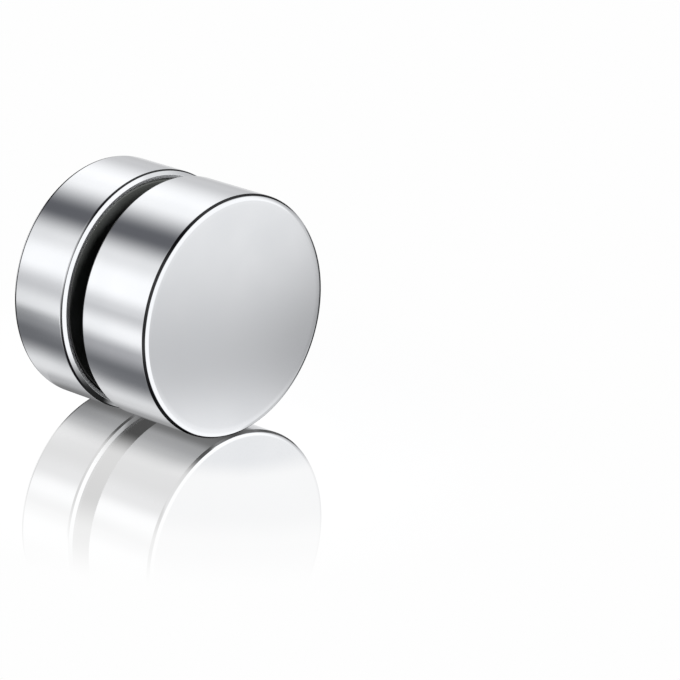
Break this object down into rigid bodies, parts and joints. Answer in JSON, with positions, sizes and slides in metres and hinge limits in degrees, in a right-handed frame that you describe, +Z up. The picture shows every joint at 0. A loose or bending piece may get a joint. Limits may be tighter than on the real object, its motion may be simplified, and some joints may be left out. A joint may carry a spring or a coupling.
{
  "type": "magnetic stud earring",
  "caption": "Round magnetic stud earring: a polished steel front half and a thinner back half that hold each other through the earlobe by magnets.",
  "frame": {"origin": "middle of the earring's footprint, on the surface that it rests on", "axes": "+Y along the common axis of both halves, from the front half's plain face to the back half; +Z up; the earring stands on its round side"},
  "size_m": [0.01, 0.0076, 0.01],
  "materials": {
    "polished_steel": "mirror-polished stainless steel",
    "magnet_black": "black epoxy coating, semi-gloss"
  },
  "bodies": {
    "front": {"front_cap": "polished_steel", "front_magnet": "magnet_black"},
    "back": {"back_cap": "polished_steel", "back_magnet": "magnet_black"}
  },
  "joints": [
    {"name": "back_pull_off", "type": "slide", "parent": "front", "child": "back", "axis": [0, 1, 0], "range_m": [-0.00095, 0.008]}
  ]
}
